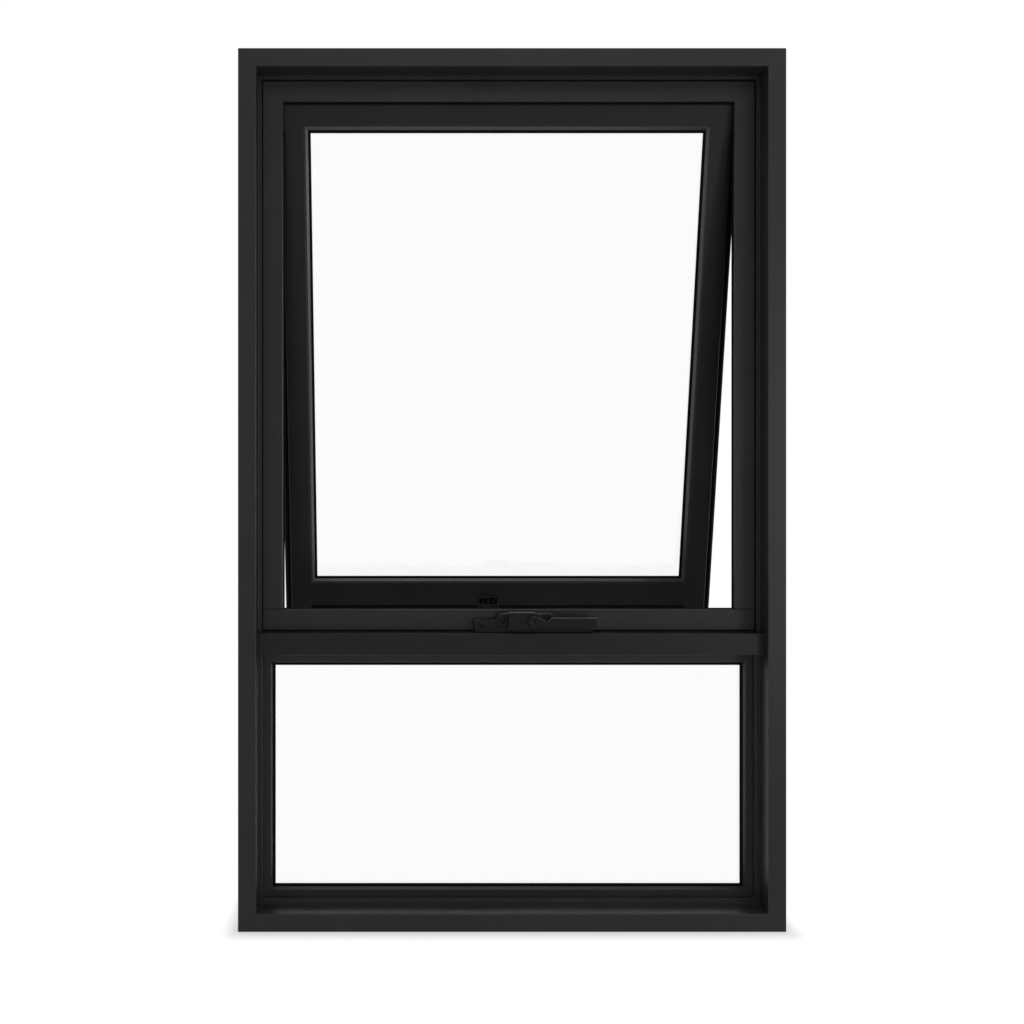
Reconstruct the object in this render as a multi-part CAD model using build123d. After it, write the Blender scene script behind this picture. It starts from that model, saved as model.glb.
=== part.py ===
from build123d import *
import os
from math import asin, cos, degrees, radians, sin

# Awning window over a fixed light, a black aluminium unit that is seen from the room.
# X runs along the width, Y from the room to the outdoors and Z upwards, in millimetres.
# The origin is on the underside of the outer sill, at the middle of its length and depth.
# The sash stands open by the length of its chain. In every section below, the first number
# is the place along Y and the second is the reach inwards from the outer edge of a frame.

# Whole window
WINDOW_WIDTH = 850
WINDOW_HEIGHT = 1370
WINDOW_DEPTH = 92
OPENING = 130

# Outer frame, with a shallow groove along its inner faces
OUTER_FACE = 28
OUTER_LAND = 14
GROOVE_DEPTH = 2
OUTER_ROUND = 1.2

# Inner frames, which stand back from the front of the outer frame
FACE_SETBACK = 38
BACK_SETBACK = 8
LIP_WIDTH = 3
LIP_PROUD = 4
LIP_ROUND = 0.8
AWNING_FACE = 36.5
AWNING_ROUND = 2
STOP_WIDTH = 18
STOP_DEPTH = 6

# Fixed light below, transom and awning sill
FIXED_HEIGHT = 398
FIXED_FACE = 5
FIXED_RECESS = 6
TRANSOM_HEIGHT = 34
TRANSOM_ROUND = 1
SILL_FACE = 35
SILL_UPSTAND = 4.5
SILL_FLOOR = 3
SILL_FALL = 1.5
SILL_ROUND = 2.2

# Sash, whose edges lap behind the stop of the awning frame
SASH_LAP = 3.5
SASH_CLEARANCE = 1
SASH_DEPTH = 30
SASH_FACE = 35.5
SASH_RAIL = 49
SASH_OVERLAP = 30
SASH_ROUND = 1.2
FLANGE_WIDTH = 11
FLANGE_THICK = 3
FLANGE_SETBACK = 8
FLANGE_HEAD_GAP = 12

# Glazing, measured from the edge of the opening that holds the pane
GLASS_THICK = 6
PANE_CLEARANCE = 2
GASKET_THICK = 2.5
GASKET_SHOW = 4
GLAZING_LEG = 3
LEG_SETBACK = 3
BEAD_DEPTH = 6
BEAD_NOSE = 1
SASH_BEAD = 6
SASH_BEVEL = 4
SASH_BEAD_RECESS = 1
FIXED_BEAD = 14
FIXED_BEVEL = 2.5

# Hook hinge along the head
HINGE_END_GAP = 14
HINGE_CLEARANCE = 1
BULB_RADIUS = 3
BULB_NECK = 2
HOOK_INNER = 3.3
HOOK_OUTER = 5.5
HOOK_FOOT = 1.5
HOOK_FOOT_WIDTH = 8
HOOK_MOUTH = 6.4

# Chain winder on the awning sill
WINDER_LEFT = -58
WINDER_RIGHT = 130
BASE_HEIGHT = 20
BASE_DEPTH = 15
BASE_SLANT = 3
GEARBOX_RADIUS = 11
GEARBOX_LEFT = -11
GEARBOX_RIGHT = 61
GEARBOX_LIFT = 19
GEARBOX_PROUD = 3
ARM_LEFT = -4
ARM_LIFT = 7.5
ARM_HEIGHT = 26
ARM_DEPTH = 11
PIVOT_X = 34.5
PIVOT_LIFT = 20
PIN_RADIUS = 3.5
PIN_SINK = 8
PIN_HEAD_RADIUS = 5
PIN_HEAD_PROUD = 1.5
EYE_RADIUS = 9
EYE_DEPTH = 7
NECK_X = 56
NECK_HEIGHT = 9.5
GRIP_START = 62.5
GRIP_END = 135
GRIP_DROP = 1.5
GRIP_HEIGHT = 15
GRIP_ROUND = 1.5

# Chain from the gearbox to the bracket on the sash
CHAIN_X = -11
CHAIN_LIFT = 19.5
CHAIN_PITCH = 9.5
CHAIN_WIDTH = 6
CHAIN_HEIGHT = 6
LINK_PLATE = 1.2
ROLLER_RADIUS = 1.8
SLOT_CLEARANCE = 3
BRACKET_LEFT = -36
BRACKET_WIDTH = 36
BRACKET_HEIGHT = 23
BRACKET_RISE = 2
BRACKET_PLATE = 2.5
LOOP_WIDTH = 17
LOOP_HEIGHT = 14
LOOP_WALL = 2
LOOP_PROUD = 4

# Places worked out from the sizes above
FRONT_Y = -WINDOW_DEPTH / 2
BACK_Y = WINDOW_DEPTH / 2
FACE_Y = FRONT_Y + FACE_SETBACK
LIP_Y = FACE_Y - LIP_PROUD
FRAME_BACK_Y = BACK_Y - BACK_SETBACK
GROOVE_Y = FRONT_Y + OUTER_LAND
INNER_WIDTH = WINDOW_WIDTH - 2 * OUTER_FACE
INNER_BOTTOM = OUTER_FACE
INNER_TOP = WINDOW_HEIGHT - OUTER_FACE
TRANSOM_BOTTOM = INNER_BOTTOM + FIXED_HEIGHT
TRANSOM_TOP = TRANSOM_BOTTOM + TRANSOM_HEIGHT
SILL_TOP = TRANSOM_TOP + SILL_FACE
HEAD_BOTTOM = INNER_TOP - AWNING_FACE
SASH_WIDTH = INNER_WIDTH - 2 * AWNING_FACE + 2 * SASH_LAP
HINGE_LENGTH = SASH_WIDTH - 2 * HINGE_END_GAP
SASH_TOP = HEAD_BOTTOM + SASH_LAP
SASH_BOTTOM = SILL_TOP - SASH_OVERLAP
SASH_Y = FACE_Y + STOP_DEPTH + SASH_CLEARANCE
HINGE_Y = FACE_Y + STOP_DEPTH + HINGE_CLEARANCE + HOOK_OUTER
HINGE_Z = SASH_TOP + HOOK_FOOT + HOOK_OUTER
SASH_ANGLE = degrees(asin(OPENING / (HINGE_Z - SASH_BOTTOM)))
WINDER_Y = FACE_Y - BASE_DEPTH - GEARBOX_PROUD

parts = {}


def section(*points):
    """Gives the face of a section that lies across the X axis."""
    return Plane.YZ * make_face(Polyline(*points, close=True))


def rounded(face, radius, *corners):
    """Rounds the corners of a section that lie at the given places."""
    chosen = [face.vertices().sort_by_distance((0, *corner))[0] for corner in corners]
    return fillet(chosen, radius)


def block(x_span, y_span, z_span):
    """Gives a box between two places along each axis."""
    low = (x_span[0], y_span[0], z_span[0])
    size = (x_span[1] - x_span[0], y_span[1] - y_span[0], z_span[1] - z_span[0])
    return Pos(*low) * Box(*size, align=(Align.MIN, Align.MIN, Align.MIN))


def outline(face, y_front, y_back):
    """Gives a solid whose outline is drawn on X and Z, between two places along Y."""
    return extrude(Plane(origin=(0, y_back, 0), x_dir=(1, 0, 0), z_dir=(0, -1, 0)) * face, y_back - y_front)


def member(face, length, mitres=(True, True)):
    """Gives a length of one section along X, with its ends mitred or square."""
    bar = extrude(face, length / 2, both=True)
    for sign, mitred in zip((-1, 1), mitres):
        if mitred:
            cut = Plane(origin=(sign * length / 2, 0, 0), z_dir=(sign, 0, 1))
            bar = split(bar, bisect_by=cut, keep=Keep.BOTTOM)
    return bar


def place(bar, side, reach, middle):
    """Turns a length that was made as a bottom member to its own side of a frame."""
    turn = {"bottom": 0, "right": -90, "top": 180, "left": 90}[side]
    return Pos(0, 0, middle) * Rot(0, turn, 0) * Pos(0, 0, -reach / 2) * bar


def ring(face, width, low, high):
    """Gives the four mitred members of a frame, by side."""
    height = high - low
    middle = (low + high) / 2
    return {
        "bottom": place(member(face, width), "bottom", height, middle),
        "right": place(member(face, height), "right", width, middle),
        "top": place(member(face, width), "top", height, middle),
        "left": place(member(face, height), "left", width, middle),
    }


def band(width, low, high, outer, inner, y_front, y_back):
    """Gives a flat ring between two insets from the edge of an opening."""
    middle = Pos(0, (low + high) / 2)
    plate = Rectangle(width - 2 * outer, high - low - 2 * outer)
    hole = Rectangle(width - 2 * inner, high - low - 2 * inner)
    return outline(middle * (plate - hole), y_front, y_back)


def glazing(width, low, high, face_y, bead_width, bevel, recess):
    """Gives the beads, the gaskets on both sides and the pane of one opening."""
    bead_y = face_y + recess
    seat_y = face_y + BEAD_DEPTH
    pane_y = seat_y + GASKET_THICK
    back_y = pane_y + GLASS_THICK
    bead = section(
        (bead_y, 0),
        (seat_y, 0),
        (seat_y, bead_width),
        (seat_y - BEAD_NOSE, bead_width),
        (bead_y, bead_width - bevel),
    )
    sight = bead_width + GASKET_SHOW
    inner_gasket = band(width, low, high, PANE_CLEARANCE, sight, seat_y, pane_y)
    outer_sight = sight - LEG_SETBACK
    outer_gasket = band(width, low, high, PANE_CLEARANCE, outer_sight, back_y, back_y + GASKET_THICK)
    pane = block(
        (PANE_CLEARANCE - width / 2, width / 2 - PANE_CLEARANCE),
        (pane_y, back_y),
        (low + PANE_CLEARANCE, high - PANE_CLEARANCE),
    )
    return ring(bead, width, low, high), Compound([inner_gasket, outer_gasket]), pane


def stop_y(face_y):
    """Gives the place of the stop behind a pane whose bead starts at face_y."""
    return face_y + BEAD_DEPTH + 2 * GASKET_THICK + GLASS_THICK


# Outer frame: four mitred lengths whose front edges are rounded
outer_section = section(
    (FRONT_Y, 0),
    (BACK_Y, 0),
    (BACK_Y, OUTER_FACE),
    (LIP_Y, OUTER_FACE),
    (LIP_Y, OUTER_FACE - GROOVE_DEPTH),
    (GROOVE_Y, OUTER_FACE - GROOVE_DEPTH),
    (GROOVE_Y, OUTER_FACE),
    (FRONT_Y, OUTER_FACE),
)
outer_section = rounded(outer_section, OUTER_ROUND, (FRONT_Y, 0), (FRONT_Y, OUTER_FACE))
outer = ring(outer_section, WINDOW_WIDTH, 0, WINDOW_HEIGHT)
parts["outer_sill"] = outer["bottom"]
parts["outer_head"] = outer["top"]
parts["outer_left_jamb"] = outer["left"]
parts["outer_right_jamb"] = outer["right"]

# Transom: its front fits into the grooves of the outer jambs
transom_front = block(
    (-INNER_WIDTH / 2 - GROOVE_DEPTH, INNER_WIDTH / 2 + GROOVE_DEPTH),
    (GROOVE_Y, LIP_Y),
    (TRANSOM_BOTTOM, TRANSOM_TOP),
)
transom_back = block(
    (-INNER_WIDTH / 2, INNER_WIDTH / 2),
    (LIP_Y, FRAME_BACK_Y),
    (TRANSOM_BOTTOM, TRANSOM_TOP),
)
transom = transom_front + transom_back
front_edges = transom.edges().filter_by(Axis.X).group_by(Axis.Y)[0]
parts["transom"] = fillet(front_edges, TRANSOM_ROUND)

# Awning sill: an upstand towards the room and a floor that falls to the outdoors
sill_section = section(
    (FACE_Y, TRANSOM_TOP),
    (FRAME_BACK_Y, TRANSOM_TOP),
    (FRAME_BACK_Y, TRANSOM_TOP + SILL_FLOOR - SILL_FALL),
    (FACE_Y + SILL_UPSTAND, TRANSOM_TOP + SILL_FLOOR),
    (FACE_Y + SILL_UPSTAND, SILL_TOP),
    (FACE_Y, SILL_TOP),
)
sill_section = rounded(sill_section, SILL_ROUND, (FACE_Y, SILL_TOP))
awning_sill = extrude(sill_section, INNER_WIDTH / 2, both=True)
chain_z = TRANSOM_TOP + CHAIN_LIFT
slot_reach = CHAIN_WIDTH / 2 + SLOT_CLEARANCE
chain_slot = block(
    (CHAIN_X - slot_reach, CHAIN_X + slot_reach),
    (FACE_Y, FACE_Y + SILL_UPSTAND),
    (chain_z - slot_reach, chain_z + slot_reach),
)

# Awning frame: the head and jambs are mitred, and the jambs stand on the sill
awning_section = section(
    (LIP_Y, 0),
    (FRAME_BACK_Y, 0),
    (FRAME_BACK_Y, AWNING_FACE - STOP_WIDTH),
    (FACE_Y + STOP_DEPTH, AWNING_FACE - STOP_WIDTH),
    (FACE_Y + STOP_DEPTH, AWNING_FACE),
    (FACE_Y, AWNING_FACE),
    (FACE_Y, LIP_WIDTH),
    (LIP_Y, LIP_WIDTH),
)
awning_section = rounded(awning_section, AWNING_ROUND, (FACE_Y, AWNING_FACE))
awning_section = rounded(awning_section, LIP_ROUND, (LIP_Y, LIP_WIDTH))
jamb_length = INNER_TOP - TRANSOM_TOP
jamb_middle = (INNER_TOP + TRANSOM_TOP) / 2
head = member(awning_section, INNER_WIDTH)
parts["awning_frame_head"] = place(head, "top", jamb_length, jamb_middle)
for side, mitres in (("left", (True, False)), ("right", (False, True))):
    jamb = place(member(awning_section, jamb_length, mitres), side, INNER_WIDTH, jamb_middle)
    parts[f"awning_frame_{side}_jamb"] = jamb - awning_sill
parts["awning_frame_sill"] = awning_sill - chain_slot

# Fixed light: frame, beads, gaskets and pane
fixed_face_y = FACE_Y + FIXED_RECESS
fixed_stop_y = stop_y(fixed_face_y)
fixed_leg_y = fixed_stop_y + GLAZING_LEG
fixed_leg = FIXED_FACE + FIXED_BEAD - LEG_SETBACK
fixed_section = section(
    (LIP_Y, 0),
    (FRAME_BACK_Y, 0),
    (FRAME_BACK_Y, FIXED_FACE),
    (fixed_leg_y, FIXED_FACE),
    (fixed_leg_y, fixed_leg),
    (fixed_stop_y, fixed_leg),
    (fixed_stop_y, FIXED_FACE),
    (FACE_Y, FIXED_FACE),
    (FACE_Y, LIP_WIDTH),
    (LIP_Y, LIP_WIDTH),
)
fixed_section = rounded(fixed_section, LIP_ROUND, (LIP_Y, LIP_WIDTH))
fixed_frame = ring(fixed_section, INNER_WIDTH, INNER_BOTTOM, TRANSOM_BOTTOM)
fixed_beads, fixed_gasket, fixed_pane = glazing(
    INNER_WIDTH - 2 * FIXED_FACE,
    INNER_BOTTOM + FIXED_FACE,
    TRANSOM_BOTTOM - FIXED_FACE,
    fixed_face_y,
    FIXED_BEAD,
    FIXED_BEVEL,
    0,
)
for side in fixed_frame:
    parts[f"fixed_frame_{side}"] = fixed_frame[side]
    parts[f"fixed_bead_{side}"] = fixed_beads[side]
parts["fixed_gasket"] = fixed_gasket
parts["fixed_glass"] = fixed_pane

# Sash, drawn closed: the top rail and stiles are mitred, and the bottom rail fits between
sash = {}
sash_stop_y = stop_y(SASH_Y)
sash_leg_y = sash_stop_y + GLAZING_LEG


def sash_section(face_width):
    """Gives the section of a sash member, with the leg behind the pane."""
    leg = face_width + SASH_BEAD - LEG_SETBACK
    face = section(
        (SASH_Y, 0),
        (SASH_Y + SASH_DEPTH, 0),
        (SASH_Y + SASH_DEPTH, face_width),
        (sash_leg_y, face_width),
        (sash_leg_y, leg),
        (sash_stop_y, leg),
        (sash_stop_y, face_width),
        (SASH_Y, face_width),
    )
    return rounded(face, SASH_ROUND, (SASH_Y, 0), (SASH_Y, face_width))


sash_height = SASH_TOP - SASH_BOTTOM
sash_middle = (SASH_TOP + SASH_BOTTOM) / 2
flange_y = (SASH_Y + FLANGE_SETBACK, SASH_Y + FLANGE_SETBACK + FLANGE_THICK)
flange_z = (SASH_BOTTOM, SASH_TOP - FLANGE_HEAD_GAP)
top_rail = member(sash_section(SASH_FACE), SASH_WIDTH)
sash["sash_top_rail"] = place(top_rail, "top", sash_height, sash_middle)
stiles = []
for side, mitres, sign in (("left", (True, False), -1), ("right", (False, True), 1)):
    stile = place(member(sash_section(SASH_FACE), sash_height, mitres), side, SASH_WIDTH, sash_middle)
    stiles.append(stile)
    flange_x = sorted((sign * SASH_WIDTH / 2, sign * (SASH_WIDTH / 2 + FLANGE_WIDTH)))
    sash[f"sash_{side}_stile"] = stile + block(flange_x, flange_y, flange_z)
rail_length = SASH_WIDTH - 2 * SASH_FACE
bottom_rail = place(
    member(sash_section(SASH_RAIL), rail_length, (False, False)),
    "bottom",
    sash_height,
    sash_middle,
)
sash["sash_bottom_rail"] = bottom_rail - stiles[0] - stiles[1]
sash_beads, sash_gasket, sash_pane = glazing(
    rail_length,
    SASH_BOTTOM + SASH_RAIL,
    SASH_TOP - SASH_FACE,
    SASH_Y,
    SASH_BEAD,
    SASH_BEVEL,
    SASH_BEAD_RECESS,
)
for side, bead in sash_beads.items():
    sash[f"sash_bead_{side}"] = bead
sash["sash_gasket"] = sash_gasket
sash["sash_glass"] = sash_pane

# Hook hinge: a bulb under the head, and a hook along the top rail that hangs on it
hinge_axis = Plane.YZ * Pos(HINGE_Y, HINGE_Z)
soffit_z = INNER_TOP - AWNING_FACE + STOP_WIDTH
neck = section(
    (HINGE_Y - BULB_NECK / 2, HINGE_Z),
    (HINGE_Y + BULB_NECK / 2, HINGE_Z),
    (HINGE_Y + BULB_NECK / 2, soffit_z),
    (HINGE_Y - BULB_NECK / 2, soffit_z),
)
bulb = extrude(hinge_axis * Circle(BULB_RADIUS), HINGE_LENGTH / 2, both=True)
parts["hinge_rail"] = bulb + extrude(neck, HINGE_LENGTH / 2, both=True)
foot = section(
    (HINGE_Y - HOOK_FOOT_WIDTH / 2, SASH_TOP),
    (HINGE_Y + HOOK_FOOT_WIDTH / 2, SASH_TOP),
    (HINGE_Y + HOOK_FOOT_WIDTH / 2, HINGE_Z - HOOK_INNER),
    (HINGE_Y - HOOK_FOOT_WIDTH / 2, HINGE_Z - HOOK_INNER),
)
mouth = section(
    (HINGE_Y - HOOK_MOUTH / 2, HINGE_Z),
    (HINGE_Y + HOOK_MOUTH / 2, HINGE_Z),
    (HINGE_Y + HOOK_MOUTH / 2, HINGE_Z + HOOK_OUTER),
    (HINGE_Y - HOOK_MOUTH / 2, HINGE_Z + HOOK_OUTER),
)
hook_face = hinge_axis * Circle(HOOK_OUTER) + foot - hinge_axis * Circle(HOOK_INNER) - mouth
sash["hinge_hook"] = extrude(hook_face, HINGE_LENGTH / 2, both=True)

# Bracket on the face of the bottom rail, with two square loops
bracket_low = SASH_BOTTOM + BRACKET_RISE
bracket_top = bracket_low + BRACKET_HEIGHT
plate_y = SASH_Y - BRACKET_PLATE
bracket = block((BRACKET_LEFT, BRACKET_LEFT + BRACKET_WIDTH), (plate_y, SASH_Y), (bracket_low, bracket_top))
loop_gap = (BRACKET_WIDTH - 2 * LOOP_WIDTH) / 3
for index in range(2):
    loop_x = BRACKET_LEFT + loop_gap + index * (LOOP_WIDTH + loop_gap) + LOOP_WIDTH / 2
    loop_z = bracket_top - loop_gap - LOOP_HEIGHT / 2
    hole = Rectangle(LOOP_WIDTH - 2 * LOOP_WALL, LOOP_HEIGHT - 2 * LOOP_WALL)
    loop = Pos(loop_x, loop_z) * (Rectangle(LOOP_WIDTH, LOOP_HEIGHT) - hole)
    bracket += outline(loop, plate_y - LOOP_PROUD, plate_y)
sash["chain_bracket"] = bracket

# The whole sash is swung out about the hinge
swing = Pos(0, HINGE_Y, HINGE_Z) * Rot(SASH_ANGLE, 0, 0) * Pos(0, -HINGE_Y, -HINGE_Z)
for name, solid in sash.items():
    parts[name] = swing * solid

# Winder: base and gearbox, crank arm, pivot pin and the handle that folds down
base_z = TRANSOM_TOP
base_outline = Polyline(
    (WINDER_LEFT + BASE_SLANT, base_z),
    (WINDER_RIGHT, base_z),
    (WINDER_RIGHT, base_z + BASE_HEIGHT),
    (WINDER_LEFT, base_z + BASE_HEIGHT),
    close=True,
)
winder_base = outline(make_face(base_outline), FACE_Y - BASE_DEPTH, FACE_Y)
gearbox_z = base_z + GEARBOX_LIFT
gearbox_length = GEARBOX_RIGHT - GEARBOX_LEFT
gearbox_face = Pos((GEARBOX_LEFT + GEARBOX_RIGHT) / 2, gearbox_z) * SlotCenterToCenter(
    gearbox_length, 2 * GEARBOX_RADIUS
)
winder_base += outline(gearbox_face, WINDER_Y, FACE_Y)
parts["winder_base"] = winder_base

arm_low = base_z + ARM_LIFT
arm_end = (PIVOT_X, arm_low + ARM_HEIGHT / 2)
arm_body = Pos((ARM_LEFT + PIVOT_X) / 2, arm_end[1]) * Rectangle(PIVOT_X - ARM_LEFT, ARM_HEIGHT)
arm_face = arm_body + Pos(*arm_end) * Circle(ARM_HEIGHT / 2)
pivot_z = base_z + PIVOT_LIFT
arm_y = WINDER_Y - ARM_DEPTH
pin_hole = Pos(PIVOT_X, pivot_z) * Circle(PIN_RADIUS)
pin_end_y = arm_y + PIN_SINK
parts["winder_arm"] = outline(arm_face, arm_y, WINDER_Y) - outline(pin_hole, arm_y, pin_end_y)

eye_y = arm_y - EYE_DEPTH
grip_middle = pivot_z - GRIP_DROP
handle_outline = Polyline(
    (PIVOT_X, pivot_z - EYE_RADIUS),
    (NECK_X, grip_middle - GRIP_HEIGHT / 2),
    (GRIP_END, grip_middle - GRIP_HEIGHT / 2),
    (GRIP_END, grip_middle + GRIP_HEIGHT / 2),
    (GRIP_START, grip_middle + GRIP_HEIGHT / 2),
    (NECK_X, grip_middle - GRIP_HEIGHT / 2 + NECK_HEIGHT),
    (PIVOT_X, pivot_z + EYE_RADIUS),
    close=True,
)
handle_face = make_face(handle_outline) + Pos(PIVOT_X, pivot_z) * Circle(EYE_RADIUS) - pin_hole
handle = outline(handle_face, eye_y, arm_y)
end_edges = handle.edges().filter_by(Axis.Z).group_by(Axis.X)[-1]
parts["winder_handle"] = chamfer(end_edges.group_by(Axis.Y)[0], GRIP_ROUND)
pin_head = Pos(PIVOT_X, pivot_z) * Circle(PIN_HEAD_RADIUS)
parts["winder_pin"] = outline(pin_hole, eye_y, pin_end_y) + outline(pin_head, eye_y - PIN_HEAD_PROUD, eye_y)

# Chain: links along Y from the back of the gearbox to the bracket's plate
drop = HINGE_Z - chain_z
plate_reach = (plate_y - HINGE_Y) / cos(radians(SASH_ANGLE))
chain_end_y = HINGE_Y + plate_reach + drop * sin(radians(SASH_ANGLE)) / cos(radians(SASH_ANGLE))
chain_length = chain_end_y - FACE_Y
link_count = int((chain_length - 2 * CHAIN_WIDTH) / CHAIN_PITCH)
first_pin_y = FACE_Y + (chain_length - link_count * CHAIN_PITCH) / 2
chain = None
for index in range(link_count + 1):
    pin_y = first_pin_y + index * CHAIN_PITCH
    roller = Pos(CHAIN_X, pin_y, chain_z) * Cylinder(ROLLER_RADIUS, CHAIN_HEIGHT)
    chain = roller if chain is None else chain + roller
for index in range(link_count):
    link_y = first_pin_y + (index + 0.5) * CHAIN_PITCH
    inset = LINK_PLATE * (index % 2)
    for sign in (-1, 1):
        plate_z = chain_z + sign * (CHAIN_HEIGHT / 2 - LINK_PLATE / 2 - inset)
        link = Rot(0, 0, 90) * SlotCenterToCenter(CHAIN_PITCH, CHAIN_WIDTH)
        chain += Pos(CHAIN_X, link_y, plate_z - LINK_PLATE / 2) * extrude(link, LINK_PLATE)
shank_x = (CHAIN_X - CHAIN_WIDTH / 2, CHAIN_X + CHAIN_WIDTH / 2)
shank_z = (chain_z - CHAIN_HEIGHT / 2, chain_z + CHAIN_HEIGHT / 2)
chain += block(shank_x, (FACE_Y, first_pin_y), shank_z)
end_shank = block(shank_x, (first_pin_y + link_count * CHAIN_PITCH, chain_end_y + CHAIN_WIDTH), shank_z)
bracket_front = swing * Plane(origin=(0, plate_y, SASH_BOTTOM), z_dir=(0, 1, 0))
chain += split(end_shank, bisect_by=bracket_front, keep=Keep.BOTTOM)
parts["winder_chain"] = chain

os.makedirs("parts", exist_ok=True)
for name, solid in parts.items():
    export_step(solid, f"parts/{name}.step")
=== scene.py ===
"""Looks of an awning window: coated sections with eased edges, glass, seals, fixings and a studio."""

import logging
import math
from collections.abc import Iterable, Sequence
from dataclasses import dataclass, field
from enum import Enum
from typing import Any

import bpy
from mathutils import Matrix, Vector

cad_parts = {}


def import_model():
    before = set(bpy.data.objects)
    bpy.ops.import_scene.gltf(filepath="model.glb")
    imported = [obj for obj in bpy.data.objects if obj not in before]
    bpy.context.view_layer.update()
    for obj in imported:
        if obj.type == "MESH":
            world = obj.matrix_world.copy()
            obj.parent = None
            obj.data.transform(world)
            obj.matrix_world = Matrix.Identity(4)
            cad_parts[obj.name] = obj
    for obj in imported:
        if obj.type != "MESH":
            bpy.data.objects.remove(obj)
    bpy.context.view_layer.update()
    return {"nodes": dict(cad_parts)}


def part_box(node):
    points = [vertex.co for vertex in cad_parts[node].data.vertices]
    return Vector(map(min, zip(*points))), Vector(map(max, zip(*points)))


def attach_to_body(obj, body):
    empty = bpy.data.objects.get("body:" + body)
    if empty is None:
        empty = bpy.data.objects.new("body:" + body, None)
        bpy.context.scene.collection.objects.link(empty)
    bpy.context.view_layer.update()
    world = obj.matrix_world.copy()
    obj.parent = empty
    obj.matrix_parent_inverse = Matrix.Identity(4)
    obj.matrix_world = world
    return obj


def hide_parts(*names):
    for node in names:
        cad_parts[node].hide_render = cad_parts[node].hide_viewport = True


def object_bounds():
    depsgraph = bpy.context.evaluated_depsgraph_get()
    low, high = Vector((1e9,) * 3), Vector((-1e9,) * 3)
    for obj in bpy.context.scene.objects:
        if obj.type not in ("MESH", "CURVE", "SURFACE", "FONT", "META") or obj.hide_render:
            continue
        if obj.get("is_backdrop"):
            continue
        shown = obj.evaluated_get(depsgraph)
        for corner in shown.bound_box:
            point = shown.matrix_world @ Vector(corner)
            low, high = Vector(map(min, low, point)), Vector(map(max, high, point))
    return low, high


MM = 0.001
BODY = "root"
IMAGE_PIXELS = 1024
SENSOR_MM = 36.0
SHARP_ANGLE = math.radians(30.0)
SMOOTH_ANGLE = math.radians(38.0)
WHITE = (1.0, 1.0, 1.0, 1.0)
MEAN_NOISE = 0.5
MIX_LOW_SOCKET = 6
MIX_HIGH_SOCKET = 7
MIX_COLOUR_SOCKET = 2
RIGHT = Vector((1, 0, 0))
UP = Vector((0, 0, 1))
ROOM = Vector((0, -1, 0))
OUTDOORS = Vector((0, 1, 0))

log = logging.getLogger("awning_window")

Colour = tuple[float, float, float]


class Run(Enum):
    """The way that the length of a section runs."""

    LEVEL = "level"
    UPRIGHT = "upright"


class Slot(Enum):
    """The record's material slots, passed along with the finished pieces but never given to them."""

    FRAME = "black_frame"
    HARDWARE = "black_hardware"
    STEEL = "dark_steel"
    ALUMINIUM = "mill_aluminium"
    RUBBER = "black_rubber"


class Value:
    """A shader socket that can stand in a sum.

    Args:
        graph: The graph that the socket belongs to.
        socket: An output socket of one of its nodes.
    """

    def __init__(self, graph: "Graph", socket: bpy.types.NodeSocket) -> None:
        """Keeps the socket with its graph."""
        self.graph = graph
        self.socket = socket

    def __add__(self, other: "Value | float") -> "Value":
        """Gives the sum of both."""
        return self.graph.maths("ADD", self, other)

    __radd__ = __add__

    def __sub__(self, other: "Value | float") -> "Value":
        """Gives this less the other."""
        return self.graph.maths("SUBTRACT", self, other)

    def __rsub__(self, other: float) -> "Value":
        """Gives the other less this."""
        return self.graph.maths("SUBTRACT", other, self)

    def __mul__(self, other: "Value | float") -> "Value":
        """Gives the product of both."""
        return self.graph.maths("MULTIPLY", self, other)

    __rmul__ = __mul__


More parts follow.
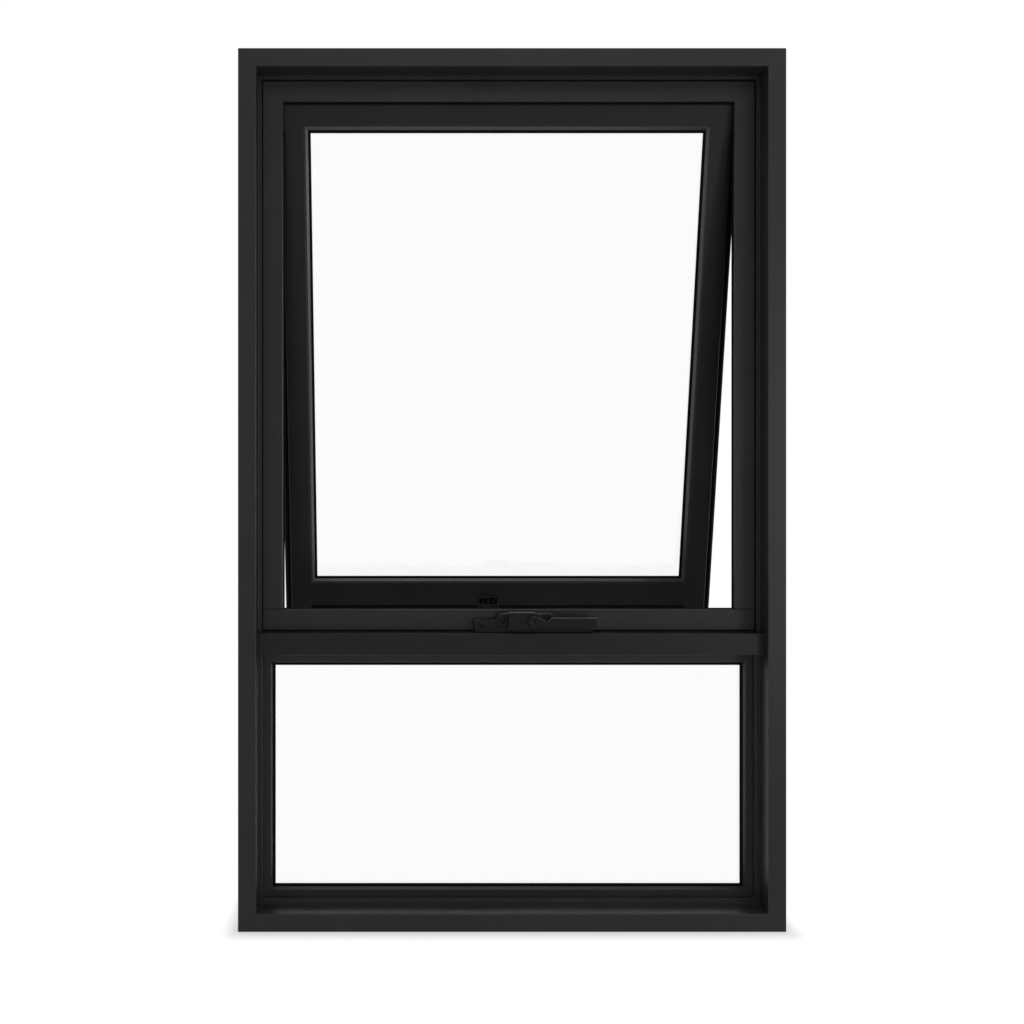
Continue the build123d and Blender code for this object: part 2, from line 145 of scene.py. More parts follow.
class Graph:
    """The nodes of one material or of the world.

    Args:
        tree: The node tree, which is emptied first.
    """

    def __init__(self, tree: bpy.types.NodeTree) -> None:
        """Empties the tree."""
        self.tree = tree
        tree.nodes.clear()

    def node(
        self,
        kind: str,
        settings: dict[str, Any] | None = None,
        inputs: dict[str | int, Any] | None = None,
    ) -> bpy.types.Node:
        """Adds one node.

        Args:
            kind: The node's type.
            settings: What is set on the node itself, before its sockets.
            inputs: Numbers, colours or links for its sockets, by name or place.

        Returns:
            The new node.
        """
        made = self.tree.nodes.new(kind)
        for name, setting in (settings or {}).items():
            setattr(made, name, setting)
        for name, given in (inputs or {}).items():
            if isinstance(given, Value):
                self.tree.links.new(given.socket, made.inputs[name])
            else:
                made.inputs[name].default_value = given
        return made

    def value(
        self,
        kind: str,
        output: str | int,
        settings: dict[str, Any] | None = None,
        inputs: dict[str | int, Any] | None = None,
    ) -> Value:
        """Adds one node and gives one of its outputs.

        Args:
            kind: The node's type.
            output: The name or place of the output.
            settings: As for node.
            inputs: As for node.

        Returns:
            The output, ready for a sum.
        """
        return Value(self, self.node(kind, settings, inputs).outputs[output])

    def maths(self, operation: str, left: Value | float, right: Value | float) -> Value:
        """Adds one Math node and gives its result."""
        return self.value("ShaderNodeMath", 0, {"operation": operation}, {0: left, 1: right})

    def place(self, stretch: Sequence[float]) -> Value:
        """Gives object coordinates, in metres, stretched by a factor along each axis."""
        spot = self.value("ShaderNodeTexCoord", "Object")
        return self.value("ShaderNodeMapping", "Vector", None, {"Vector": spot, "Scale": stretch})

    def noise(self, stretch: Sequence[float], detail: float) -> Value:
        """Gives cloud noise from 0 to 1 whose grains are as fine as the stretch says."""
        inputs = {"Vector": self.place(stretch), "Scale": 1.0, "Detail": detail}
        return self.value("ShaderNodeTexNoise", 0, None, inputs)

    def shade(self, low: Colour, high: Colour, factor: Value) -> Value:
        """Gives a colour between two others."""
        inputs = {"Factor": factor, MIX_LOW_SOCKET: (*low, 1.0), MIX_HIGH_SOCKET: (*high, 1.0)}
        return self.value("ShaderNodeMix", MIX_COLOUR_SOCKET, {"data_type": "RGBA"}, inputs)

    def bump(self, height: Value, depth: float, strength: float) -> Value:
        """Gives a normal that follows a height, in metres of depth."""
        inputs = {"Height": height, "Distance": depth, "Strength": strength}
        return self.value("ShaderNodeBump", "Normal", None, inputs)

    def surface(self, inputs: dict[str | int, Any]) -> None:
        """Ends the graph with one principled surface."""
        shader = self.value("ShaderNodeBsdfPrincipled", 0, None, inputs)
        self.node("ShaderNodeOutputMaterial", None, {"Surface": shader})


@dataclass(frozen=True)
class Coating:
    """Satin powder coat on an extruded or cast piece.

    Its bump holds the grain of the cured powder and the faint lines that a die leaves.
    """

    name: str
    dark: Colour = (0.0115, 0.0115, 0.012)
    light: Colour = (0.0185, 0.0185, 0.0194)
    roughness: float = 0.38
    roughness_spread: float = 0.1
    specular: float = 0.46
    run: Run = Run.LEVEL
    grain_per_m: float = 1700.0
    grain_detail: float = 2.0
    grain_tone: float = 0.25
    grain_gloss: float = 0.3
    cloud_per_m: float = 9.0
    cloud_detail: float = 3.0
    cloud_tone: float = 0.6
    cloud_gloss: float = 0.7
    line_per_m: float = 420.0
    line_stretch: float = 1.5
    line_detail: float = 1.0
    line_tone: float = 0.15
    line_share: float = 0.35
    bump_depth: float = 0.12 * MM
    bump_strength: float = 0.22

    def material(self) -> bpy.types.Material:
        """Makes the material.

        Returns:
            The new material.
        """
        made = new_material(self.name)
        graph = Graph(made.node_tree)
        along, across = self.line_stretch, self.line_per_m
        level = self.run is Run.LEVEL
        stretch = (along, across, across) if level else (across, across, along)
        grain = graph.noise((self.grain_per_m,) * 3, self.grain_detail)
        cloud = graph.noise((self.cloud_per_m,) * 3, self.cloud_detail)
        lines = graph.noise(stretch, self.line_detail)
        tone = cloud * self.cloud_tone + grain * self.grain_tone + lines * self.line_tone
        gloss = cloud * self.cloud_gloss + grain * self.grain_gloss - MEAN_NOISE
        graph.surface({
            "Base Color": graph.shade(self.dark, self.light, tone),
            "Roughness": self.roughness + self.roughness_spread * gloss,
            "Specular IOR Level": self.specular,
            "Normal": graph.bump(
                grain * (1.0 - self.line_share) + lines * self.line_share,
                self.bump_depth,
                self.bump_strength,
            ),
        })
        return made


@dataclass(frozen=True)
class Rubber:
    """Matt extruded gasket, with a faint bloom."""

    name: str = "gasket_rubber"
    dark: Colour = (0.0015, 0.0015, 0.0015)
    light: Colour = (0.0035, 0.0035, 0.0036)
    roughness: float = 0.75
    roughness_spread: float = 0.2
    specular: float = 0.08
    grain_per_m: float = 900.0
    cloud_per_m: float = 40.0
    detail: float = 2.0
    bump_depth: float = 0.1 * MM
    bump_strength: float = 0.3

    def material(self) -> bpy.types.Material:
        """Makes the material.

        Returns:
            The new material.
        """
        made = new_material(self.name)
        graph = Graph(made.node_tree)
        grain = graph.noise((self.grain_per_m,) * 3, self.detail)
        cloud = graph.noise((self.cloud_per_m,) * 3, self.detail)
        graph.surface({
            "Base Color": graph.shade(self.dark, self.light, cloud),
            "Roughness": self.roughness + self.roughness_spread * (cloud - MEAN_NOISE),
            "Specular IOR Level": self.specular,
            "Normal": graph.bump(grain, self.bump_depth, self.bump_strength),
        })
        return made


@dataclass(frozen=True)
class Metal:
    """Bare or darkened metal with fine lines along its length."""

    name: str
    dark: Colour
    light: Colour
    roughness: float = 0.36
    line_stretch: tuple[float, float, float] = (3.0, 900.0, 900.0)
    line_detail: float = 2.0
    line_tone: float = 0.5
    line_spread: float = 0.1
    cloud_per_m: float = 60.0
    cloud_detail: float = 3.0
    cloud_tone: float = 0.5
    cloud_spread: float = 0.16
    bump_depth: float = 0.05 * MM
    bump_strength: float = 0.3

    def material(self) -> bpy.types.Material:
        """Makes the material.

        Returns:
            The new material.
        """
        made = new_material(self.name)
        graph = Graph(made.node_tree)
        lines = graph.noise(self.line_stretch, self.line_detail)
        cloud = graph.noise((self.cloud_per_m,) * 3, self.cloud_detail)
        tone = lines * self.line_tone + cloud * self.cloud_tone
        clouded = self.roughness + self.cloud_spread * (cloud - MEAN_NOISE)
        graph.surface({
            "Base Color": graph.shade(self.dark, self.light, tone),
            "Metallic": 1.0,
            "Roughness": clouded + self.line_spread * (lines - MEAN_NOISE),
            "Normal": graph.bump(lines, self.bump_depth, self.bump_strength),
        })
        return made


@dataclass(frozen=True)
class Glass:
    """Clear float glass, with the faintest haze where it was wiped."""

    name: str = "float_glass"
    tint: Colour = (0.994, 0.996, 0.995)
    haze: float = 0.02
    ior: float = 1.5
    wipe_stretch: tuple[float, float, float] = (9.0, 9.0, 3.0)
    wipe_detail: float = 3.0

    def material(self) -> bpy.types.Material:
        """Makes the material.

        Returns:
            The new material.
        """
        made = new_material(self.name)
        graph = Graph(made.node_tree)
        graph.surface({
            "Base Color": (*self.tint, 1.0),
            "Roughness": self.haze * graph.noise(self.wipe_stretch, self.wipe_detail),
            "IOR": self.ior,
            "Transmission Weight": 1.0,
        })
        return made


def new_material(name: str) -> bpy.types.Material:
    """Makes an empty material that uses nodes.

    Args:
        name: The material's name.

    Returns:
        The new material.
    """
    made = bpy.data.materials.new(name)
    made.use_nodes = True
    return made


def activate(piece: bpy.types.Object) -> None:
    """Selects one piece and nothing else.

    Args:
        piece: The piece, which becomes the active one.
    """
    bpy.ops.object.select_all(action="DESELECT")
    piece.select_set(True)
    bpy.context.view_layer.objects.active = piece


def apply_modifier(piece: bpy.types.Object, kind: str, settings: dict[str, Any]) -> None:
    """Adds a modifier to a piece and applies it.

    Args:
        piece: The piece, which becomes the active one.
        kind: The modifier's type.
        settings: What is set on it first.
    """
    activate(piece)
    modifier = piece.modifiers.new(kind.title(), kind)
    for name, setting in settings.items():
        setattr(modifier, name, setting)
    bpy.ops.object.modifier_apply(modifier=modifier.name)


def ease_edges(piece: bpy.types.Object, width: float, segments: int = 2) -> None:
    """Rounds each sharp edge of a piece and smooths its shading.

    Args:
        piece: A closed mesh.
        width: The width of the rounding, in metres.
        segments: How many faces it has across.
    """
    bevel = {
        "limit_method": "ANGLE",
        "angle_limit": SHARP_ANGLE,
        "width": width,
        "segments": segments,
        "use_clamp_overlap": True,
    }
    apply_modifier(piece, "BEVEL", bevel)
    bpy.ops.object.shade_smooth_by_angle(angle=SMOOTH_ANGLE)
    apply_modifier(piece, "WEIGHTED_NORMAL", {"keep_sharp": True})


def select_faces(piece: bpy.types.Object, toward: Vector, level: float = 0.9) -> None:
    """Goes into edit mode with the faces selected that look one way.

    Args:
        piece: The piece to edit.
        toward: The way that the faces look.
        level: The least cosine between a face and that way.
    """
    activate(piece)
    bpy.ops.object.mode_set(mode="EDIT")
    bpy.ops.mesh.select_all(action="DESELECT")
    bpy.ops.mesh.select_mode(type="FACE")
    bpy.ops.object.mode_set(mode="OBJECT")
    for face in piece.data.polygons:
        face.select = face.normal.dot(toward) > level
    bpy.ops.object.mode_set(mode="EDIT")


def leave_edit() -> None:
    """Goes back to object mode."""
    bpy.ops.object.mode_set(mode="OBJECT")


def settle(piece: bpy.types.Object) -> None:
    """Puts a piece's place into its mesh."""
    activate(piece)
    bpy.ops.object.transform_apply(location=True, rotation=True, scale=True)


def slope(pane: bpy.types.Object) -> tuple[Vector, Vector]:
    """Gives how a pane leans.

    Args:
        pane: The pane's node.

    Returns:
        The way that its room side looks, and the way up along it.
    """
    face = max(pane.data.polygons, key=lambda polygon: polygon.area).normal
    toward = face.copy() if face.y < 0 else -face
    return toward, toward.cross(RIGHT)


def attach(piece: bpy.types.Object, finish: bpy.types.Material) -> None:
    """Gives a piece its finish and its place in the frame.

    Args:
        piece: A finished piece.
        finish: Its material.
    """
    piece.data.materials.clear()
    piece.data.materials.append(finish)
    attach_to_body(piece, BODY)
    log.info("%s: %d faces, %s", piece.name, len(piece.data.polygons), finish.name)


class Palette:
    """All finishes, made once."""

    def __init__(self) -> None:
        """Makes each material."""
        self.frame_coats = {run: Coating("frame_coat_" + run.value, run=run).material() for run in Run}
        # A darker copy of the frame's coat: painted shade for the sash and the transom.
        self.painted_shade_coats = {run: self.painted_shade_coat(run) for run in Run}
        self.bead_coats = {run: self.bead_coat(run) for run in Run}
        self.cast_coat = Coating(
            "cast_hardware_coat",
            dark=(0.0055, 0.0055, 0.0058),
            light=(0.0095, 0.0095, 0.01),
            specular=0.26,
            grain_per_m=2400.0,
            line_share=0.1,
        ).material()
        self.rubber = Rubber().material()
        self.steel = Metal("blackened_steel", (0.02, 0.02, 0.021), (0.05, 0.05, 0.052)).material()
        self.aluminium = Metal("dark_anodised", (0.035, 0.035, 0.037), (0.07, 0.07, 0.073)).material()
        self.glass = Glass().material()

    def painted_shade_coat(self, run: Run) -> bpy.types.Material:
        """Makes a darker copy of the frame's coat for the sash and the transom, as painted shade where they
        lie deeper in shadow.
        """
        # Darker tones than the frame's coat, which paint shade onto the sash and the transom.
        deep = {"dark": (0.0058, 0.0058, 0.006), "light": (0.0094, 0.0094, 0.0098)}
        return Coating("painted_shade_coat_" + run.value, run=run, **deep).material()

    def bead_coat(self, run: Run) -> bpy.types.Material:
        """Makes the smoother coat of the glazing beads."""
        smooth = {"roughness": 0.28, "specular": 0.66, "line_share": 0.15}
        return Coating("bead_coat_" + run.value, run=run, **smooth).material()


@dataclass
class Dresser:
    """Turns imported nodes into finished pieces.

    A node is copied, its triangles are merged into whole faces, and its edges are eased.
    """

    nodes: dict[str, bpy.types.Object]
    palette: Palette
    merge_distance: float = 0.002 * MM
    flat_angle: float = math.radians(0.4)
    suffix: str = "_finished"

    def copy(self, node: str) -> bpy.types.Object:
        """Copies a node's mesh and merges its faces.

        Args:
            node: The name of the node.

        Returns:
            The new piece, at the node's own place.
        """
        piece = bpy.data.objects.new(node + self.suffix, self.nodes[node].data.copy())
        bpy.context.scene.collection.objects.link(piece)
        activate(piece)
        bpy.ops.object.mode_set(mode="EDIT")
        bpy.ops.mesh.select_all(action="SELECT")
        bpy.ops.mesh.remove_doubles(threshold=self.merge_distance)
        bpy.ops.mesh.dissolve_limited(angle_limit=self.flat_angle)
        leave_edit()
        return piece

    def eased(
        self,
        node: str,
        width: float,
        finish: bpy.types.Material,
        slot: Slot,
        segments: int = 2,
    ) -> None:
        """Makes the finished piece of a node.

        Args:
            node: The name of the node, which the piece stands for.
            width: The width of its eased edges, in metres.
            finish: Its material.
            slot: The record's slot; not used.
            segments: How many faces each eased edge has across.
        """
        self.dress(self.copy(node), node, width, finish, slot, segments)

    def dress(
        self,
        piece: bpy.types.Object,
        node: str,
        width: float,
        finish: bpy.types.Material,
        slot: Slot,
        segments: int,
    ) -> None:
        """Eases the edges of a copied piece and puts it in the place of its node.

        Args:
            piece: The copy.
            node: The name of the node.
            width: The width of its eased edges, in metres.
            finish: Its material.
            slot: The record's slot; not used.
            segments: How many faces each eased edge has across.
        """
        ease_edges(piece, width, segments)
        attach(piece, finish)
        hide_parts(node)

    def section(self, node: str, width: float, coats: dict[Run, bpy.types.Material]) -> None:
        """Makes the finished piece of a coated section, with its lines along its length.

        Args:
            node: The name of the node.
            width: The width of its eased edges, in metres.
            coats: Its coat, for either run.
        """
        low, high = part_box(node)
        run = Run.UPRIGHT if high.z - low.z > high.x - low.x else Run.LEVEL
        self.eased(node, width, coats[run], Slot.FRAME)

    def keep(self, node: str, finish: bpy.types.Material) -> None:
        """Keeps a node as it is and gives it a finish.

        Args:
            node: The name of the node.
            finish: Its material.
        """
        mesh = self.nodes[node].data
        mesh.materials.clear()
        mesh.materials.append(finish)
        log.info("%s: kept, %s", node, finish.name)


@dataclass
class Seals:
    """Lays extruded bulb seals and lines of sealant; several stand in as painted shade for dark gap lines.
    """

    palette: Palette
    sides: int = 20
    foot_share: float = 0.5
    edge_share: float = 0.25

    def lay(self, name: str, start: Vector, end: Vector, radius: float, out: Vector) -> None:
        """Makes one length of seal with a flat foot.

        Args:
            name: The piece's name.
            start: One end of its foot.
            end: The other end of its foot.
            radius: The radius of its bulb.
            out: The way that the bulb stands from its foot.
        """
        along = end - start
        bpy.ops.object.select_all(action="DESELECT")
        bpy.ops.mesh.primitive_cylinder_add(vertices=self.sides, radius=radius, depth=along.length)
        piece = bpy.context.active_object
        piece.name = name
        turn = UP.rotation_difference(along)
        piece.matrix_world = Matrix.Translation((start + end) / 2) @ turn.to_matrix().to_4x4()
        settle(piece)
        for corner in piece.data.vertices:
            height = (corner.co - start).dot(out)
            corner.co += out * (max(0.0, height + radius * self.foot_share) - height)
        ease_edges(piece, radius * self.edge_share)
        attach(piece, self.palette.rubber)


@dataclass
class OuterFrame:
    """The four mitred lengths of the outer frame, and the transom."""

    dresser: Dresser
    edge: float = 0.45 * MM
    members: tuple[str, ...] = ("head", "sill", "left_jamb", "right_jamb")

    def build(self) -> None:
        """Finishes each length."""
        palette = self.dresser.palette
        for member in self.members:
            self.dresser.section("outer_" + member, self.edge, palette.frame_coats)
        # The transom takes the darker coat, painted shade.
        self.dresser.section("transom", self.edge, palette.painted_shade_coats)


@dataclass
class AwningFrame:
    """The frame that the sash closes against, with its bulb seals and its sealant, whose black also stands
    in as painted shade in the gaps.
    """

    dresser: Dresser
    seals: Seals
    edge: float = 0.45 * MM
    lip_width: float = 3 * MM
    lip_proud: float = 4 * MM
    stop_depth: float = 6 * MM
    seal_radius: float = 2.5 * MM
    seal_reach: float = -0.5 * MM
    seal_drop: float = 45 * MM
    sill_seal_radius: float = 1.1 * MM
    sill_seal_setback: float = 3.4 * MM
    head_seal_radius: float = 1.2 * MM
    joint_radius: float = 1.1 * MM
    fine_joint_radius: float = 0.5 * MM
    joint_gap: float = 1 * MM
    members: tuple[str, ...] = ("head", "left_jamb", "right_jamb", "sill")

    def build(self) -> None:
        """Finishes each length and lays the seals and the sealant."""
        coats = self.dresser.palette.frame_coats
        for member in self.members:
            self.dresser.section("awning_frame_" + member, self.edge, coats)
        self.lay_seals()
        self.lay_shade_joints()

    def lay_seals(self) -> None:
        """Lays the bulb seals that the sash closes on; their black rubber also serves as painted shade for
        the dark gap lines beside the stops and above the sill.
        """
        head_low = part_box("awning_frame_head")[0]
        sill_low, sill_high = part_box("awning_frame_sill")
        back = head_low.y + self.lip_proud + self.stop_depth
        top = head_low.z - self.seal_drop
        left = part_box("awning_frame_left_jamb")[1].x
        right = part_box("awning_frame_right_jamb")[0].x
        # Jamb seals: real seals, set so that their black also paints the shadowed gap beside each jamb's
        # edge.
        for name, x in (("seal_left", left + self.seal_reach), ("seal_right", right - self.seal_reach)):
            ends = Vector((x, back, sill_high.z)), Vector((x, back, top))
            self.seals.lay(name, *ends, self.seal_radius, OUTDOORS)
        # The sill's seal sits on the upstand as a black line: painted shade for the gap behind the sill's
        # edge.
        upstand = sill_low.y + self.sill_seal_setback
        ends = Vector((left, upstand, sill_high.z)), Vector((right, upstand, sill_high.z))
        self.seals.lay("seal_sill", *ends, self.sill_seal_radius, UP)
        # The head's seal hides the gap under the head and paints its shadow line black.
        edge = back - self.head_seal_radius
        ends = Vector((left, edge, head_low.z)), Vector((right, edge, head_low.z))
        self.seals.lay("seal_head", *ends, self.head_seal_radius, -UP)

    def lay_shade_joints(self) -> None:
        """Lays black sealant beside the lip, along the sill's foot and where the sill meets the jambs:
        painted shade for the shadow lines in those gaps.
        """
        head_low, head_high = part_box("awning_frame_head")
        face = head_low.y + self.lip_proud
        inset = self.lip_width + self.joint_radius
        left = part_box("awning_frame_left_jamb")[0].x + inset
        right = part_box("awning_frame_right_jamb")[1].x - inset
        sill_low, sill_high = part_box("awning_frame_sill")
        foot = sill_low.z + self.joint_radius
        top = head_high.z - inset
        base_low, base_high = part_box("winder_base")
        jamb_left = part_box("awning_frame_left_jamb")[1].x
        jamb_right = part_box("awning_frame_right_jamb")[0].x
        wide, fine = self.joint_radius, self.fine_joint_radius
        # Each strip is a black line of painted shade where the gap would only be in shadow.
        for name, start, end, radius in (
            ("joint_left", (left, foot), (left, top), wide),
            ("joint_right", (right, foot), (right, top), wide),
            ("joint_head", (left, top), (right, top), wide),
            ("joint_sill_left", (left, foot), (base_low.x - self.joint_gap, foot), wide),
            ("joint_sill_right", (base_high.x + self.joint_gap, foot), (right, foot), wide),
            ("joint_jamb_left", (left, sill_high.z), (jamb_left, sill_high.z), fine),
            ("joint_jamb_right", (jamb_right, sill_high.z), (right, sill_high.z), fine),
        ):
            ends = Vector((start[0], face, start[1])), Vector((end[0], face, end[1]))
            self.seals.lay(name, *ends, radius, ROOM)


@dataclass
class FixedLight:
    """The lower light: frame, beads, gaskets and pane."""

    dresser: Dresser
    edge: float = 0.45 * MM
    bead_edge: float = 0.25 * MM
    gasket_edge: float = 0.5 * MM
    sides: tuple[str, ...] = ("top", "bottom", "left", "right")

    def build(self) -> None:
        """Finishes each piece."""
        palette = self.dresser.palette
        for side in self.sides:
            self.dresser.section("fixed_frame_" + side, self.edge, palette.frame_coats)
            self.dresser.section("fixed_bead_" + side, self.bead_edge, palette.frame_coats)
        self.dresser.eased("fixed_gasket", self.gasket_edge, palette.rubber, Slot.RUBBER)
        self.dresser.keep("fixed_glass", palette.glass)


@dataclass
class Sash:
    """The open sash: rails, stiles, beads, gaskets, pane and seals, with the hook hinge that it hangs on."""

    dresser: Dresser
    seals: Seals
    seal_radius: float = 2.6 * MM
    seal_gap: float = 2 * MM
    # Raise of the rail's seal, so that its black band shows above the sill as painted shade.
    shade_band_lift: float = 2 * MM
    flange_width: float = 11 * MM
    flange_setback: float = 8 * MM
    flange_head_gap: float = 12 * MM
    # The flange seals are black strips of painted shade on the flanges.
    flange_seal_radius: float = 3.2 * MM
    edge: float = 0.45 * MM
    bead_edge: float = 0.25 * MM
    gasket_edge: float = 0.5 * MM
    hook_edge: float = 0.2 * MM
    sides: tuple[str, ...] = ("top", "bottom", "left", "right")
    members: tuple[str, ...] = ("top_rail", "bottom_rail", "left_stile", "right_stile")

    def build(self) -> None:
        """Finishes each piece and lays the seals."""
        palette = self.dresser.palette
        for member in self.members:
            # The sash takes the darker coat, painted shade.
            self.dresser.section("sash_" + member, self.edge, palette.painted_shade_coats)
        for side in self.sides:
            self.dresser.section("sash_bead_" + side, self.bead_edge, palette.bead_coats)
        self.dresser.eased("sash_gasket", self.gasket_edge, palette.rubber, Slot.RUBBER)
        self.dresser.keep("sash_glass", palette.glass)
        self.dresser.eased("hinge_hook", self.hook_edge, palette.aluminium, Slot.ALUMINIUM)
        self.dresser.eased("hinge_rail", self.hook_edge, palette.aluminium, Slot.ALUMINIUM)
        self.lay_seals()

    def lay_seals(self) -> None:
        """Lays the seal along the foot of the bottom rail, raised so that its black shows above the sill as
        painted shade, and black strips on the stiles' flanges as painted shade for the shadowed gap beside
        each stile.
        """
        toward, up = slope(self.dresser.nodes["sash_glass"])
        spots = [corner.co for corner in self.dresser.nodes["sash_left_stile"].data.vertices]
        face = max(spot.dot(toward) for spot in spots)
        foot = min(spot.dot(up) for spot in spots)
        top = max(spot.dot(up) for spot in spots) - self.flange_head_gap
        rail_low, rail_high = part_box("sash_bottom_rail")
        bracket_low, bracket_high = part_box("chain_bracket")
        # Raised above the foot so that the black band of the seal paints the shade between sill and rail.
        place = toward * face + up * (foot + self.seal_radius + self.shade_band_lift)
        for name, left, right in (
            ("sash_seal_left", rail_low.x, bracket_low.x - self.seal_gap),
            ("sash_seal_right", bracket_high.x + self.seal_gap, rail_high.x),
        ):
            ends = place + RIGHT * left, place + RIGHT * right
            self.seals.lay(name, *ends, self.seal_radius, toward)
        # Flat black strips along the flanges, painted shade for the shadowed gap beside each stile.
        flange = toward * (face - self.flange_setback)
        for name, x in (
            ("flange_seal_left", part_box("sash_left_stile")[0].x + self.flange_width / 2),
            ("flange_seal_right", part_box("sash_right_stile")[1].x - self.flange_width / 2),
        ):
            ends = flange + up * foot + RIGHT * x, flange + up * top + RIGHT * x
            self.seals.lay(name, *ends, self.flange_seal_radius, toward)


@dataclass
class Screws:
    """Pan-head screws with a cross recess, modelled once and copied."""

    palette: Palette
    radius: float = 3.4 * MM
    height: float = 2.2 * MM
    sides: int = 32
    recess_length: float = 3.8 * MM
    recess_width: float = 0.9 * MM
    recess_depth: float = 1.3 * MM
    dome_share: float = 0.62
    dome_faces: int = 5
    smooth_angle: float = math.radians(40.0)
    model: bpy.types.Mesh | None = field(default=None, init=False)

    def shape(self) -> bpy.types.Mesh:
        """Models one head that stands on the origin and looks along Z.

        Returns:
            The mesh of the head.
        """
        if self.model:
            return self.model
        bpy.ops.object.select_all(action="DESELECT")
        bpy.ops.mesh.primitive_cylinder_add(
            vertices=self.sides,
            radius=self.radius,
            depth=self.height,
            location=(0, 0, self.height / 2),
        )
        head = bpy.context.active_object
        settle(head)
        select_faces(head, UP)
        bpy.ops.mesh.bevel(offset=self.height * self.dome_share, segments=self.dome_faces, affect="EDGES")
        leave_edit()
        for turn in (0.0, math.pi / 2):
            self.cut(head, turn)
        bpy.ops.object.shade_smooth_by_angle(angle=self.smooth_angle)
        self.model = head.data
        bpy.data.objects.remove(head)
        return self.model

    def cut(self, head: bpy.types.Object, turn: float) -> None:
        """Cuts one arm of the cross.

        Args:
            head: The screw head.
            turn: The arm's turn about Z.
        """
        bpy.ops.object.select_all(action="DESELECT")
        bpy.ops.mesh.primitive_cube_add(size=1.0, location=(0, 0, self.height), rotation=(0, 0, turn))
        cutter = bpy.context.active_object
        cutter.scale = (self.recess_length, self.recess_width, 2 * self.recess_depth)
        settle(cutter)
        apply_modifier(head, "BOOLEAN", {"operation": "DIFFERENCE", "object": cutter, "solver": "EXACT"})
        bpy.data.objects.remove(cutter)

    def add(self, name: str, seat: Vector, toward: Vector, turn: float, scale: float = 1.0) -> None:
        """Sets one screw on a face.

        Args:
            name: The piece's name.
            seat: The middle of its seat.
            toward: The way that the head looks.
            turn: The turn of its cross.
            scale: Its size against the model.
        """
        piece = bpy.data.objects.new(name, self.shape().copy())
        bpy.context.scene.collection.objects.link(piece)
        tilt = UP.rotation_difference(toward).to_matrix().to_4x4()
        spin = Matrix.Rotation(turn, 4, "Z")
        piece.data.transform(Matrix.Translation(seat) @ tilt @ spin @ Matrix.Scale(scale, 4))
        attach(piece, self.palette.steel)


